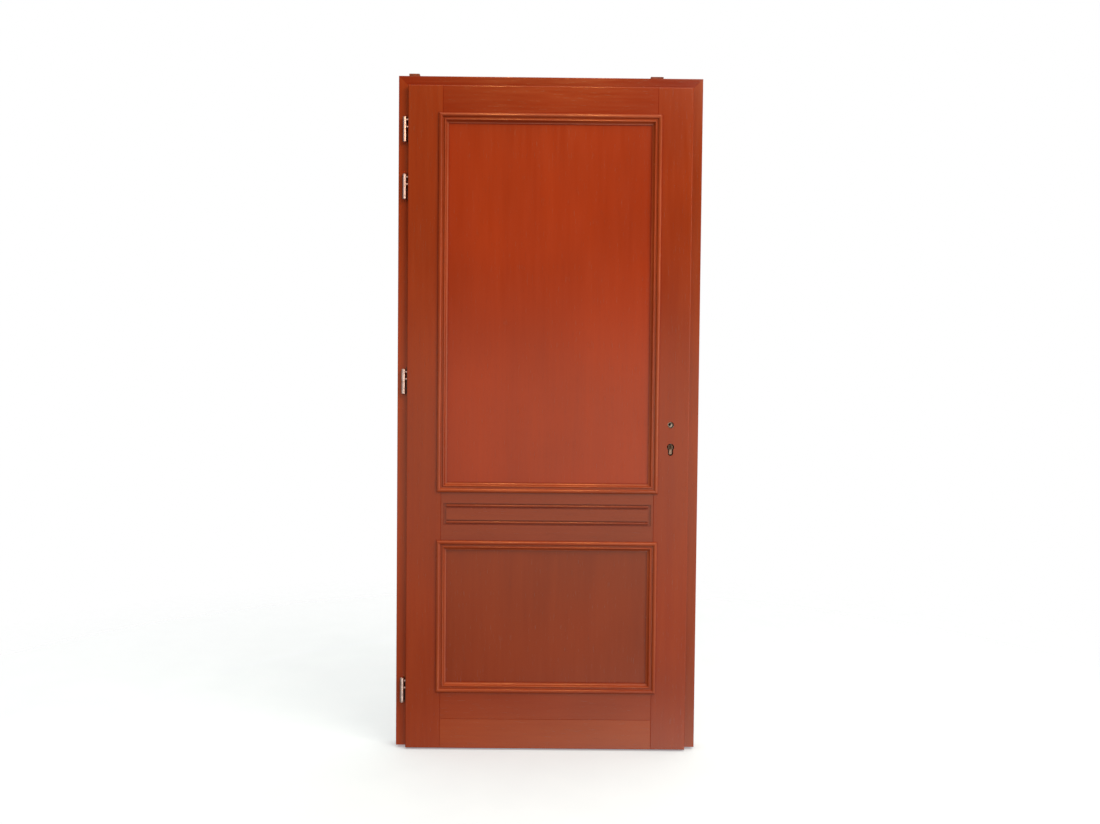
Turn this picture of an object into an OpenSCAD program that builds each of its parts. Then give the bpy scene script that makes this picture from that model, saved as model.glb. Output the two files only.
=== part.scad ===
// Panelled entrance door: a rebated timber leaf hung in a timber frame.
// The front of the door looks along -Y, the hinges are at -X and the lock is at +X.
// The origin is the middle of the threshold's underside.

/* [Frame] */
// Overall width of the frame
frame_w = 980; // [880:5:1200]
// Height of the frame from the floor to the top of the head
frame_h = 2185; // [2050:5:2500]
// Depth of the frame from front to back
frame_d = 70; // [66:1:100]
// Width of the frame's face that shows round the leaf
margin = 33; // [28:1:45]
// Width of the stop that the back of the leaf closes against
stop_w = 15; // [12:1:22]
// Distance of the stop strips in from the frame's back
stop_set = 2; // [0.5:0.5:6]
// Clear height under the feet of the jambs
foot_gap = 8; // [2:1:12]
// Radius of the frame's front edges
frame_arris = 2; // [1:0.5:4]
// Width of the groove that holds the seal
seal_w = 3; // [2.5:0.5:4]
// Depth of the groove that holds the seal
seal_deep = 5; // [4:0.5:8]
// Clearance between the seal and the shut leaf
seal_play = 0.3; // [0.2:0.1:1]

/* [Head packers] */
// Length of the left packer
packer_left_l = 33; // [20:1:60]
// Height of the left packer
packer_left_h = 11; // [4:1:20]
// Middle of the left packer
packer_left_x = -442; // [-450:1:-300]
// Length of the right packer
packer_right_l = 41; // [20:1:60]
// Height of the right packer
packer_right_h = 9; // [4:1:20]
// Middle of the right packer
packer_right_x = 343; // [250:1:400]
// Depth of both packers
packer_d = 40; // [20:1:60]

/* [Leaf] */
// Clear height under the leaf
leaf_gap = 5; // [2:1:12]
// Thickness of the lip in front of the frame
lip_t = 20; // [18:1:28]
// Thickness of the leaf behind the lip
body_t = 38; // [34:1:44]
// How far the lip reaches past the body on all four sides
lip_lap = 14; // [10:1:18]
// Gap between the lip and the frame's face
lip_gap = 1; // [0.5:0.5:4]
// Gap between the edge of the body and the frame
body_gap = 4; // [3:0.5:6]
// Gap between the back of the body and the stop
stop_gap = 4; // [3:0.5:6]
// Radius of the leaf's front edges
leaf_arris = 3; // [1:0.5:6]
// Width of each stile on the front
stile_w = 112; // [100:1:140]
// Height of the top rail on the front
top_rail_h = 101; // [90:1:140]
// Lower edge of the middle rail above the floor
mid_rail_z = 674; // [600:1:720]
// Height of the middle rail
mid_rail_h = 184; // [160:1:200]
// Height of the bottom rail on the front
bottom_rail_h = 198; // [150:1:260]
// Height of the lower board of the bottom rail
bottom_board_h = 97; // [60:1:110]
// Length of the rails' tenons
tenon_l = 60; // [40:1:70]
// Thickness of the rails' tenons
tenon_t = 14; // [10:1:18]
// Width of tenon left off at the top and foot of each rail
tenon_inset = 22; // [15:1:30]
// Width of the fine groove along each joint
joint_w = 1.6; // [0.8:0.2:3]

/* [Panels and mouldings] */
// Thickness of the panels
panel_t = 36; // [24:1:44]
// Room round the edge of a panel
panel_room = 1.5; // [0.5:0.5:4]
// How far a moulding laps over the stiles and rails
mould_lap = 13.5; // [12:0.5:20]
// How far a moulding reaches in over the panel
mould_in = 18.5; // [16:0.5:26]
// Radius of the outer bead
bead_r = 6.5; // [5:0.5:7]
// Height of the straight edge under the outer bead
bead_lift = 2; // [1:0.5:4]
// Radius of the inner bead
inner_bead_r = 3; // [2:0.5:3.5]
// Radius of the cove that runs down to the panel
cove_r = 8; // [5:0.5:9]

/* [Ornament of the middle rail] */
// Length of the raised field between the end grooves
field_l = 655; // [500:1:660]
// Height of the raised field
field_h = 38; // [20:1:50]
// Middle of the field above the foot of the middle rail
field_z = 100; // [80:1:110]
// Radius of the bead along the field
reed_r = 4.5; // [3:0.5:6]
// Width of the grooves beside each bead
quirk_w = 3.5; // [2:0.5:5]
// Width of the groove at each end of the field
end_groove_w = 9; // [4:0.5:12]
// Depth of the grooves
quirk_deep = 4.5; // [2:0.5:6]

/* [Hinges] */
// Distance from the leaf's top down to the first hinge
hinge_drop_1 = 140; // [80:1:200]
// Distance from the leaf's top down to the second hinge
hinge_drop_2 = 323; // [300:1:500]
// Distance from the leaf's top down to the third hinge
hinge_drop_3 = 950; // [800:1:1200]
// Distance from the leaf's foot up to the lowest hinge
hinge_rise = 188; // [120:1:300]
// Diameter of the knuckles
knuckle_d = 13; // [12:0.5:16]
// Length of each half of a hinge
knuckle_l = 41.5; // [38:0.5:60]
// Height of the rounded end of a knuckle
crown_h = 3; // [1.5:0.5:4]
// Gap between the knuckles and the leaf's edge
hinge_gap = 6; // [4:0.5:8]
// Diameter of the hinge pins
pin_d = 7; // [5:0.5:8]
// Running clearance round the hinge pins
pin_play = 0.05; // [0.02:0.01:0.1]
// Thickness of the bearing washers
washer_t = 1; // [0.5:0.5:2]
// Clearance over a bearing washer
washer_play = 0.1; // [0.05:0.05:0.3]
// Diameter of the studs that enter the wood
stud_d = 6; // [5:0.5:7]
// Length of the studs inside the wood
stud_l = 28; // [20:1:32]
// Distance of the first stud from the middle of a hinge
stud_near = 8; // [6:0.5:12]
// Distance of the second stud from the middle of a hinge
stud_far = 31; // [28:0.5:34]

/* [Lock] */
// Height of the spindle above the floor
spindle_z = 1069; // [1010:1:1100]
// Distance from the spindle down to the cylinder
lock_pitch = 72; // [70:1:92]
// Distance from the forend's face to the spindle
backset = 45; // [40:1:55]
// Diameter of the holes in the wood for the spindle
spindle_hole_d = 20; // [16:1:24]
// Square hole of the follower
spindle_sq = 8; // [7:0.5:9]
// Diameter of the follower's hub
hub_d = 18; // [16:0.5:19]
// Running clearance round the hub and the key plug
lock_play = 0.05; // [0.02:0.01:0.1]
// Angle that the follower turns through
turn_angle = 38; // [30:1:45]
// Thickness of the lock case
case_t = 15; // [14:0.5:17]
// Depth of the lock case behind the forend
case_d = 70; // [68:1:80]
// Thickness of the sheet of the lock case
case_wall = 2; // [1:0.5:2]
// Length of the forend
forend_l = 235; // [225:1:260]
// Width of the forend
forend_w = 20; // [18:1:24]
// Thickness of the forend
forend_t = 3; // [2:0.5:4]
// Thickness of both bolts
bolt_t = 10; // [8:0.5:10]
// Clearance round the bolts in the forend
bolt_play = 0.3; // [0.2:0.1:0.5]
// Height of the latch bolt
latch_h = 34; // [30:1:34]
// Travel of the latch bolt
latch_travel = 12; // [10:0.5:13]
// Height of the dead bolt
dead_h = 28; // [22:1:30]
// Travel of the dead bolt
dead_travel = 20; // [14:1:22]
// Diameter of the round part of the profile cylinder
cyl_d = 17; // [16:0.5:18]
// Width of the lower part of the profile cylinder
cyl_foot_w = 10; // [9:0.5:11]
// Height of the profile cylinder
cyl_h = 33; // [32:0.5:35]
// Length of the cylinder from its middle to its front
cyl_front = 35; // [31:1:38]
// Length of the cylinder from its middle to its back
cyl_back = 30; // [24:1:40]
// Diameter of the key plugs
plug_d = 13; // [12:0.5:14]
// Width of the key slots
key_w = 2.4; // [1.5:0.1:3]
// Height of the key slots
key_h = 8; // [6:0.5:9]
// Depth of the key slots
key_deep = 22; // [15:1:23]
// Reach of the cam
cam_r = 15; // [14:0.5:15]
// Width of the cam
cam_w = 9.6; // [8:0.2:10]
// Room round the profile cylinder in the wood
cyl_room = 3; // [1:0.5:4]
// Length of the strike plate
strike_l = 210; // [190:1:240]
// Width of the strike plate
strike_w = 22; // [20:1:26]
// Thickness of the strike plate
strike_t = 2.5; // [2:0.5:4]
// Room round the bolts in the strike plate
strike_room = 3; // [2:0.5:4]
// Depth of the pockets behind the strike plate
pocket_deep = 27; // [24:1:30]
// Diameter of the screws of the lock
screw_d = 4; // [3.5:0.5:5]
// Length of the screws of the lock
screw_l = 26; // [20:1:30]

/* [Hidden] */
$fn = 64;
big = 3000;

// Places across the door
frame_x = frame_w / 2;
lip_x = frame_x - margin;
body_x = lip_x - lip_lap;
rebate_x = body_x + body_gap;
stop_x = rebate_x - stop_w;
stile_in = lip_x - stile_w;
frame_t = frame_x - rebate_x;

// Places from front to back
face_y = -frame_d / 2;
back_y = frame_d / 2;
lip_y = face_y - lip_gap;
front_y = lip_y - lip_t;
rear_y = lip_y + body_t;
stop_y = rear_y + stop_gap;
stop_back_y = back_y - stop_set;
leaf_mid_y = (front_y + rear_y) / 2;
lock_y = lip_y + body_t / 2;

// Places above the floor
leaf_top = frame_h - margin;
body_top = leaf_top - lip_lap;
rebate_top = body_top + body_gap;
stop_top = rebate_top - stop_w;
body_bot = leaf_gap + lip_lap;
step_z = body_bot - body_gap;
stop_bot = step_z + stop_w;
top_rail_z = leaf_top - top_rail_h;
mid_rail_top = mid_rail_z + mid_rail_h;
bottom_rail_top = leaf_gap + bottom_rail_h;
board_top = leaf_gap + bottom_board_h;
tenon_root = 5;

// Panel openings and mouldings
mould_w = mould_lap + mould_in;
recess = (lip_t + body_t - panel_t) / 2;
foot_edge = 1.5;
open_w = 2 * stile_in;
upper_h = top_rail_z - mid_rail_top;
upper_z = (top_rail_z + mid_rail_top) / 2;
lower_h = mid_rail_z - bottom_rail_top;
lower_z = (mid_rail_z + bottom_rail_top) / 2;

// Hinges
knuckle_r = knuckle_d / 2;
axis_x = -(lip_x + hinge_gap + knuckle_r);
axis_y = lip_y - lip_t / 2;
cap_t = 3;
bore_l = knuckle_l - crown_h - cap_t;
stud_root = 2;
hinge_zs = [leaf_top - hinge_drop_1, leaf_top - hinge_drop_2, leaf_top - hinge_drop_3, leaf_gap + hinge_rise];

// Lock
forend_x = body_x - forend_t;
lock_x = body_x - backset;
cyl_z = spindle_z - lock_pitch;
cyl_r = cyl_d / 2;
foot_r = cyl_foot_w / 2;
case_over = 34;
case_under = 61;
case_top = spindle_z + case_over;
case_bot = cyl_z - case_under;
forend_z = (case_top + case_bot) / 2;
cavity_t = case_t - 2 * case_wall;
arm_l = 20;
arm_r = 3;
arm_lead = turn_angle / 2;
tail_t = 4;
hook_h = 6;
slack = 0.4;
tail_z = spindle_z + arm_l + arm_r + 1;
latch_top = tail_z + tail_t;
latch_z = latch_top - latch_h / 2;
latch_l = 24;
hook_x = lock_x - arm_l * sin(arm_lead) - arm_r - bolt_play;
dead_over = 2;
dead_z = cyl_z + cam_r + dead_over + dead_h / 2;
dead_l = 42;
cyl_screw_d = 5;
cyl_screw_z = cyl_z + cyl_r - cyl_h + cyl_screw_d - 0.5;
strike_z = forend_z;
screw_head_d = 2 * screw_d;
screw_inset = 11;
case_low = [forend_x - case_d, lock_y - case_t / 2, case_bot];
case_high = [forend_x, lock_y + case_t / 2, case_top];

// Every rail's lower and upper edge, from the floor up
rail_spans = [
    [leaf_gap, board_top],
    [board_top, bottom_rail_top],
    [mid_rail_z, mid_rail_top],
    [top_rail_z, leaf_top]
];

mould_sides = ["top", "lock_side", "bottom", "hinge_side"];

wood = "sienna";
steel = "silver";

// A box between two corners
module box(a, b) {
    translate(a) cube(b - a);
}

// The outside of a rounded corner, with its point at the origin
module corner(r) {
    difference() {
        square(r);
        translate([r, r]) circle(r);
    }
}

// A cylinder along Y that starts at p
module rod_y(p, r, l) {
    translate(p) rotate([-90, 0, 0]) cylinder(r = r, h = l);
}

// A cylinder along X that starts at p
module rod_x(p, r, l) {
    translate(p) rotate([0, 90, 0]) cylinder(r = r, h = l);
}

// An outline in X and Z, extruded along Y from y0 to y1
module slab_y(y0, y1) {
    translate([0, y1, 0]) rotate([90, 0, 0]) linear_extrude(y1 - y0) children();
}

// A length along X of a profile, mitred at both ends.
// The profile is drawn with its width outward along Z and its depth along Y.
module mitred(inner_l, w) {
    intersection() {
        rotate([0, -90, 0]) linear_extrude(inner_l + 2 * w, center = true) children();
        slab_y(-frame_d, frame_d) polygon([
            [-inner_l / 2, 0],
            [inner_l / 2, 0],
            [inner_l / 2 + w, w],
            [-inner_l / 2 - w, w]
        ]);
    }
}

// One side of a mitred ring round an opening: 0 is the top, then clockwise
module ring_side(side, iw, ih, w) {
    horizontal = side % 2 == 0;
    rotate([0, 90 * side, 0])
        translate([0, 0, (horizontal ? ih : iw) / 2])
            mitred(horizontal ? iw : ih, w) children();
}

// Frame

// Section of a jamb or of the head, from its inner face outward
module frame_profile() {
    difference() {
        translate([0, face_y]) square([frame_t, frame_d]);
        translate([0, face_y]) corner(frame_arris);
        translate([frame_t, face_y]) mirror([1, 0]) corner(frame_arris);
        translate([0, back_y]) mirror([0, 1]) corner(frame_arris);
    }
}

// Section of a stop strip, from its free edge outward
module stop_profile() {
    difference() {
        translate([0, stop_y]) square([stop_w, stop_back_y - stop_y]);
        translate([0, stop_back_y]) mirror([0, 1]) corner(frame_arris);
    }
}

// The seal's stem, which fills its groove in the stop
module seal_stem() {
    translate([(stop_w - seal_w) / 2, stop_y]) square([seal_w, seal_deep]);
}

// The seal's tube, which stands out of the stop towards the leaf
module seal_tube() {
    tube_d = stop_gap - seal_play;
    translate([stop_w / 2, stop_y - tube_d / 2]) circle(d = tube_d);
    translate([(stop_w - seal_w) / 2, stop_y - tube_d / 2]) square([seal_w, tube_d / 2]);
}

// A full ring of the seal's profile round the opening
module seal_ring() {
    iw = 2 * stop_x;
    ih = stop_top - stop_bot;
    translate([0, 0, stop_bot + ih / 2])
        for (side = [0:3])
            ring_side(side, iw, ih, stop_w) children();
}

// An upright of the frame on the lock side, from x0 to x1, mitred at its top
module upright(x0, x1, z0, z1) {
    intersection() {
        translate([x0, 0, foot_gap]) linear_extrude(z1 - foot_gap) children();
        slab_y(-frame_d, frame_d) polygon([
            [x0, foot_gap],
            [x1, foot_gap],
            [x1, z1],
            [x0, z0]
        ]);
    }
}

module jamb() {
    upright(rebate_x, frame_x, rebate_top, frame_h) frame_profile();
}

// A stop strip, planted on the lock jamb
module side_stop() {
    difference() {
        upright(stop_x, rebate_x, stop_top, rebate_top) stop_profile();
        seal_ring() seal_stem();
    }
}

module stop_lock_side() {
    color(wood) side_stop();
}

module stop_hinge_side() {
    color(wood) mirror([1, 0, 0]) side_stop();
}

module stop_head() {
    color(wood) difference() {
        translate([0, 0, stop_top]) mitred(2 * stop_x, stop_w) stop_profile();
        seal_ring() seal_stem();
    }
}

module frame_hinge_jamb() {
    color(wood) difference() {
        mirror([1, 0, 0]) jamb();
        for (z = hinge_zs, s = [stud_near, stud_far])
            rod_y([axis_x, face_y - 1, z - s], stud_d / 2, stud_l + 1);
    }
}

module frame_lock_jamb() {
    color(wood) difference() {
        jamb();
        strike_blank(rebate_x - 1, rebate_x + strike_t);
        strike_holes(rebate_x, rebate_x + pocket_deep);
        for (z = [-1, 1])
            rod_x([rebate_x, lock_y, strike_z + z * (strike_l / 2 - screw_inset)], screw_d / 2, screw_l);
    }
}

module frame_head() {
    color(wood) translate([0, 0, rebate_top]) mitred(2 * rebate_x, frame_t) frame_profile();
}

module threshold() {
    fall = 5;
    nose = 8;
    color(wood) difference() {
        union() {
            box([-rebate_x, face_y, 0], [rebate_x, stop_y, step_z]);
            rotate([90, 0, 90]) linear_extrude(2 * stop_x, center = true) polygon([
                [stop_y - nose, 0],
                [back_y, 0],
                [back_y, stop_bot - fall],
                [stop_y + nose, stop_bot],
                [stop_y, stop_bot],
                [stop_y, step_z],
                [stop_y - nose, step_z]
            ]);
        }
        seal_ring() seal_stem();
    }
}

module frame_seal() {
    color("dimgray") seal_ring() {
        seal_stem();
        seal_tube();
    }
}

module packer(x, l, h) {
    box([x - l / 2, -packer_d / 2, frame_h], [x + l / 2, packer_d / 2, frame_h + h]);
}

module head_packers() {
    color("peru") {
        packer(packer_left_x, packer_left_l, packer_left_h);
        packer(packer_right_x, packer_right_l, packer_right_h);
    }
}

// Strike plate in the lock jamb

// A plate across the lock's edge with round ends
module edge_plate(x0, x1, w, l, z) {
    translate([x0, lock_y, z]) rotate([90, 0, 90]) linear_extrude(x1 - x0) {
        square([w, l - w], center = true);
        for (s = [-1, 1])
            translate([0, s * (l - w) / 2]) circle(d = w);
    }
}

module strike_blank(x0, x1) {
    edge_plate(x0, x1, strike_w, strike_l, strike_z);
}

// The two openings that take the bolts
module strike_holes(x0, x1) {
    half_t = bolt_t / 2 + strike_room;
    for (b = [[latch_z, latch_h], [dead_z, dead_h]]) {
        half_h = b[1] / 2 + strike_room;
        box([x0, lock_y - half_t, b[0] - half_h], [x1, lock_y + half_t, b[0] + half_h]);
    }
}

// A countersunk screw along +X with its flat head at x
module edge_screw(x, z) {
    head_h = (screw_head_d - screw_d) / 2;
    translate([x, lock_y, z]) rotate([0, 90, 0]) {
        cylinder(d1 = screw_head_d, d2 = screw_d, h = head_h);
        cylinder(d = screw_d, h = screw_l);
    }
}

module strike_screws() {
    color(steel) for (s = [-1, 1])
        edge_screw(rebate_x, strike_z + s * (strike_l / 2 - screw_inset));
}

module strike_plate() {
    color(steel) difference() {
        strike_blank(rebate_x, rebate_x + strike_t);
        strike_holes(rebate_x - 1, rebate_x + strike_t + 1);
        strike_screws();
    }
}

// Leaf

// Section of the whole leaf between two edges, from the lip's front to the body's back
module leaf_profile(lip_0, lip_1) {
    difference() {
        translate([lip_0, front_y]) square([lip_1 - lip_0, lip_t]);
        translate([lip_0, front_y]) corner(leaf_arris);
        translate([lip_1, front_y]) mirror([1, 0]) corner(leaf_arris);
    }
    translate([lip_0 + lip_lap, lip_y]) square([lip_1 - lip_0 - 2 * lip_lap, body_t]);
}

// The leaf as one blank with the lip and the rounded front edge on all four sides
module leaf_blank() {
    intersection() {
        linear_extrude(big) leaf_profile(-lip_x, lip_x);
        rotate([0, -90, 0]) linear_extrude(big, center = true) leaf_profile(leaf_gap, leaf_top);
    }
}

// The part of the blank between two heights and two sides
module leaf_piece(x0, x1, z0, z1) {
    intersection() {
        leaf_blank();
        box([x0, front_y - 1, z0], [x1, rear_y + 1, z1]);
    }
}

// Fine groove along the upright joints at both ends of a rail, on both faces
module joint_grooves(z0, z1) {
    side = joint_w / sqrt(2);
    for (x = [-stile_in, stile_in], y = [front_y, rear_y])
        translate([x, y, z0]) rotate([0, 0, 45])
            translate([-side / 2, -side / 2, 0]) cube([side, side, z1 - z0]);
}

// Fine groove along a level joint between two boards
module level_groove(z) {
    side = joint_w / sqrt(2);
    for (y = [front_y, rear_y])
        translate([0, y, z]) rotate([45, 0, 0]) cube([2 * stile_in, side, side], center = true);
}

// The tenons at both ends of a rail, or the mortises that take them
module tenons(z0, z1) {
    y0 = lock_y - tenon_t / 2;
    x0 = stile_in - tenon_root;
    x1 = stile_in + tenon_l;
    box([-x1, y0, z0 + tenon_inset], [-x0, y0 + tenon_t, z1 - tenon_inset]);
    box([x0, y0, z0 + tenon_inset], [x1, y0 + tenon_t, z1 - tenon_inset]);
}

module rail(span) {
    color(wood) {
        difference() {
            leaf_piece(-stile_in, stile_in, span[0], span[1]);
            joint_grooves(span[0], span[1]);
            level_groove(board_top);
        }
        tenons(span[0], span[1]);
    }
}

module top_rail() {
    rail(rail_spans[3]);
}

module bottom_rail() {
    rail(rail_spans[1]);
}

module bottom_rail_board() {
    rail(rail_spans[0]);
}

// The ornament's cut: a reed between two quirks above and below the field, and a groove at each end
module ornament_cut() {
    band_h = 2 * reed_r + 2 * quirk_w;
    half_h = field_h / 2 + band_h;
    half_l = field_l / 2 + end_groove_w;
    translate([0, front_y, mid_rail_z + field_z]) {
        difference() {
            box([-half_l, -1, -half_h], [half_l, quirk_deep, half_h]);
            box([-field_l / 2, -2, -field_h / 2], [field_l / 2, quirk_deep + 1, field_h / 2]);
            for (s = [-1, 1])
                rod_x([-field_l / 2, reed_r, s * (field_h + band_h) / 2], reed_r, field_l);
        }
    }
}

module middle_rail() {
    color(wood) difference() {
        rail(rail_spans[2]);
        ornament_cut();
    }
}

// A stile without its hardware, on the lock side
module stile() {
    difference() {
        leaf_piece(stile_in, lip_x, leaf_gap, leaf_top);
        for (span = rail_spans) {
            tenons(span[0], span[1]);
            joint_grooves(span[0], span[1]);
        }
    }
}

module hinge_stile() {
    color(wood) difference() {
        mirror([1, 0, 0]) stile();
        for (z = hinge_zs, s = [stud_near, stud_far])
            rod_x([-lip_x - 1, axis_y, z + s], stud_d / 2, stud_l + 1);
    }
}

module lock_stile() {
    color(wood) difference() {
        stile();
        box(case_low, [forend_x + 1, case_high[1], case_high[2]]);
        edge_plate(forend_x, body_x + 1, forend_w, forend_l, forend_z);
        rod_y([lock_x, front_y - 1, spindle_z], spindle_hole_d / 2, lip_t + body_t + 2);
        slab_y(front_y - 1, rear_y + 1) cylinder_outline(cyl_room);
        for (s = [-1, 1])
            mirror_x(body_x) rod_x([body_x, lock_y, forend_z + s * (forend_l / 2 - screw_inset)],
                screw_d / 2, screw_l);
    }
}

module panel(h, z) {
    half_w = stile_in - panel_room;
    half_h = h / 2 - panel_room;
    color(wood)
        box([-half_w, leaf_mid_y - panel_t / 2, z - half_h], [half_w, leaf_mid_y + panel_t / 2, z + half_h]);
}

module upper_panel() {
    panel(upper_h, upper_z);
}

module lower_panel() {
    panel(lower_h, lower_z);
}

// Section of the raised moulding: width outward from its inner edge, height above the stile's face
module moulding_profile() {
    quirk_h = 1;
    bead_x = mould_w - bead_r;
    cove = min(cove_r, recess - foot_edge);
    difference() {
        union() {
            translate([0, -recess]) square([mould_in, recess]);
            translate([cove, 0]) square([mould_w - cove, quirk_h]);
            translate([bead_x - bead_r, 0]) square([2 * bead_r, bead_lift]);
            intersection() {
                translate([bead_x, bead_lift]) circle(bead_r);
                square([mould_w, bead_r + bead_lift]);
            }
            translate([cove + inner_bead_r, quirk_h]) circle(inner_bead_r);
        }
        circle(cove);
    }
}

// One mitred length of moulding on the front or the back of a panel
module moulding(h, z, on_front, side) {
    y = on_front ? front_y : rear_y;
    color(wood) translate([0, y, z]) mirror([0, on_front ? 1 : 0, 0])
        ring_side(side, open_w - 2 * mould_in, h - 2 * mould_in, mould_w) moulding_profile();
}

// Hinges

// Half a knuckle standing on its flat end, with a crowned top and a blind bore
module knuckle(bore_r) {
    crown_r = (knuckle_r * knuckle_r + crown_h * crown_h) / (2 * crown_h);
    straight = knuckle_l - crown_h;
    rotate_extrude() difference() {
        union() {
            square([knuckle_r, straight]);
            intersection() {
                translate([0, knuckle_l - crown_r]) circle(crown_r);
                translate([0, straight]) square([knuckle_r, crown_h]);
            }
        }
        translate([0, -1]) square([bore_r, bore_l + 1]);
    }
}

// The upper half, with two studs in the edge of the leaf
module leaf_knuckle(z) {
    start = knuckle_r - stud_root;
    color(steel) {
        translate([axis_x, axis_y, z + washer_t / 2 + washer_play]) knuckle(pin_d / 2 + pin_play);
        for (s = [stud_near, stud_far])
            rod_x([axis_x + start, axis_y, z + s], stud_d / 2, knuckle_r - start + hinge_gap + stud_l);
    }
}

// The lower half, with two studs in the face of the jamb
module frame_knuckle(z) {
    start = knuckle_r - stud_root;
    color(steel) {
        translate([axis_x, axis_y, z - washer_t / 2]) mirror([0, 0, 1]) knuckle(pin_d / 2);
        for (s = [stud_near, stud_far])
            rod_y([axis_x, axis_y + start, z - s], stud_d / 2, face_y - axis_y - start + stud_l);
    }
}

module hinge_pins() {
    half = bore_l + washer_t / 2;
    color(steel) for (z = hinge_zs)
        translate([axis_x, axis_y, z - half]) cylinder(d = pin_d, h = 2 * half);
}

module hinge_washers() {
    color("goldenrod") for (z = hinge_zs)
        translate([axis_x, axis_y, z - washer_t / 2]) difference() {
            cylinder(r = knuckle_r, h = washer_t);
            translate([0, 0, -1]) cylinder(d = pin_d, h = washer_t + 2);
        }
}

// Lock

// Mirrors what follows in the plane across X at x
module mirror_x(x) {
    translate([x, 0, 0]) mirror([1, 0, 0]) translate([-x, 0, 0]) children();
}

// Outline of the profile cylinder with room all round
module cylinder_outline(room) {
    foot_z = cyl_z + cyl_r - cyl_h + foot_r;
    translate([lock_x, cyl_z]) circle(cyl_r + room);
    translate([lock_x - foot_r - room, foot_z]) square([2 * (foot_r + room), cyl_z - foot_z]);
    translate([lock_x, foot_z]) circle(foot_r + room);
}

// Holes through a side of the lock case for the hub and the cylinder
module case_holes() {
    rod_y([lock_x, lock_y - case_t, spindle_z], hub_d / 2 + lock_play, 2 * case_t);
    slab_y(lock_y - case_t, lock_y + case_t) cylinder_outline(bolt_play);
}

module lock_case() {
    wall = [case_wall, case_wall, case_wall];
    color("gray") difference() {
        box(case_low, [case_high[0], case_high[1] - case_wall, case_high[2]]);
        box(case_low + wall, [case_high[0] + 1, case_high[1], case_high[2] - case_wall]);
        case_holes();
    }
}

module lock_cover() {
    color("gray") difference() {
        box([case_low[0], case_high[1] - case_wall, case_low[2]], case_high);
        case_holes();
    }
}

module forend_screws() {
    color(steel) for (s = [-1, 1])
        mirror_x(body_x) edge_screw(body_x, forend_z + s * (forend_l / 2 - screw_inset));
}

// The openings of the forend that guide the bolts
module forend_holes() {
    half_t = bolt_t / 2 + bolt_play;
    for (b = [[latch_z, latch_h], [dead_z, dead_h]]) {
        half_h = b[1] / 2 + bolt_play;
        box([forend_x - 1, lock_y - half_t, b[0] - half_h], [body_x + 1, lock_y + half_t, b[0] + half_h]);
    }
}

module lock_forend() {
    color(steel) difference() {
        edge_plate(forend_x, body_x, forend_w, forend_l, forend_z);
        forend_holes();
        forend_screws();
        cylinder_screw();
    }
}

// The follower, shown turned so that the latch is drawn back
module spindle_follower() {
    arm_t = cavity_t - 2;
    color(steel) translate([lock_x, lock_y, spindle_z]) rotate([0, -arm_lead, 0]) difference() {
        union() {
            rod_y([0, -case_t / 2, 0], hub_d / 2, case_t);
            slab_y(-arm_t / 2, arm_t / 2) {
                translate([-arm_r, 0]) square([2 * arm_r, arm_l]);
                translate([0, arm_l]) circle(arm_r);
            }
        }
        rotate([0, arm_lead - turn_angle, 0]) cube([spindle_sq, 2 * case_t, spindle_sq], center = true);
    }
}

// The latch bolt drawn back flush with the forend, with the tail that the follower's arm pulls
module latch_bolt() {
    bevel = latch_travel - 1;
    y0 = lock_y - bolt_t / 2;
    y1 = lock_y + bolt_t / 2;
    color(steel) {
        translate([0, 0, latch_z - latch_h / 2]) linear_extrude(latch_h) polygon([
            [body_x - latch_l, y0],
            [body_x, y0],
            [body_x, y0 + 2],
            [body_x - bevel, y1],
            [body_x - latch_l, y1]
        ]);
        box([hook_x - tail_t, y0, tail_z], [body_x - latch_l / 2, y1, latch_top]);
        box([hook_x - tail_t, y0, tail_z - hook_h], [hook_x, y1, latch_top]);
    }
}

// The dead bolt drawn back flush with the forend
module dead_bolt() {
    color(steel) box([body_x - dead_l, lock_y - bolt_t / 2, dead_z - dead_h / 2],
        [body_x, lock_y + bolt_t / 2, dead_z + dead_h / 2]);
}

// A key slot from the end of a plug, drawn along +Y
module key_slot(y, deep) {
    box([lock_x - key_w / 2, y, cyl_z - key_h / 2], [lock_x + key_w / 2, y + deep, cyl_z + key_h / 2]);
}

module cylinder_body() {
    slot = cam_w / 2 + slack;
    color("lightgray") difference() {
        slab_y(lock_y - cyl_front, lock_y + cyl_back) cylinder_outline(0);
        rod_y([lock_x, lock_y - cyl_front - 1, cyl_z], plug_d / 2 + lock_play, cyl_front + 1);
        rod_y([lock_x, lock_y, cyl_z], plug_d / 2, cyl_back + 1);
        rod_y([lock_x, lock_y - slot, cyl_z], cam_r + slack, 2 * slot);
        cylinder_screw();
    }
}

module cylinder_plug() {
    front = lock_y - cyl_front;
    color("darkkhaki") difference() {
        rod_y([lock_x, front, cyl_z], plug_d / 2, cyl_front + cam_w / 2);
        key_slot(front - 1, key_deep + 1);
    }
}

module cylinder_rear_plug() {
    end = lock_y + cyl_back;
    start = lock_y + cam_w / 2 + slack;
    color("darkkhaki") difference() {
        rod_y([lock_x, start, cyl_z], plug_d / 2, end - start);
        key_slot(end - key_deep, key_deep + 1);
    }
}

module cylinder_cam() {
    nose_w = 7;
    color(steel) difference() {
        slab_y(lock_y - cam_w / 2, lock_y + cam_w / 2) {
            translate([lock_x, cyl_z]) circle(cyl_r - slack);
            intersection() {
                translate([lock_x, cyl_z]) circle(cam_r);
                translate([lock_x - nose_w / 2, cyl_z - cam_r]) square([nose_w, cam_r]);
            }
        }
        rod_y([lock_x, lock_y - cam_w, cyl_z], plug_d / 2, 2 * cam_w);
    }
}

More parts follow.
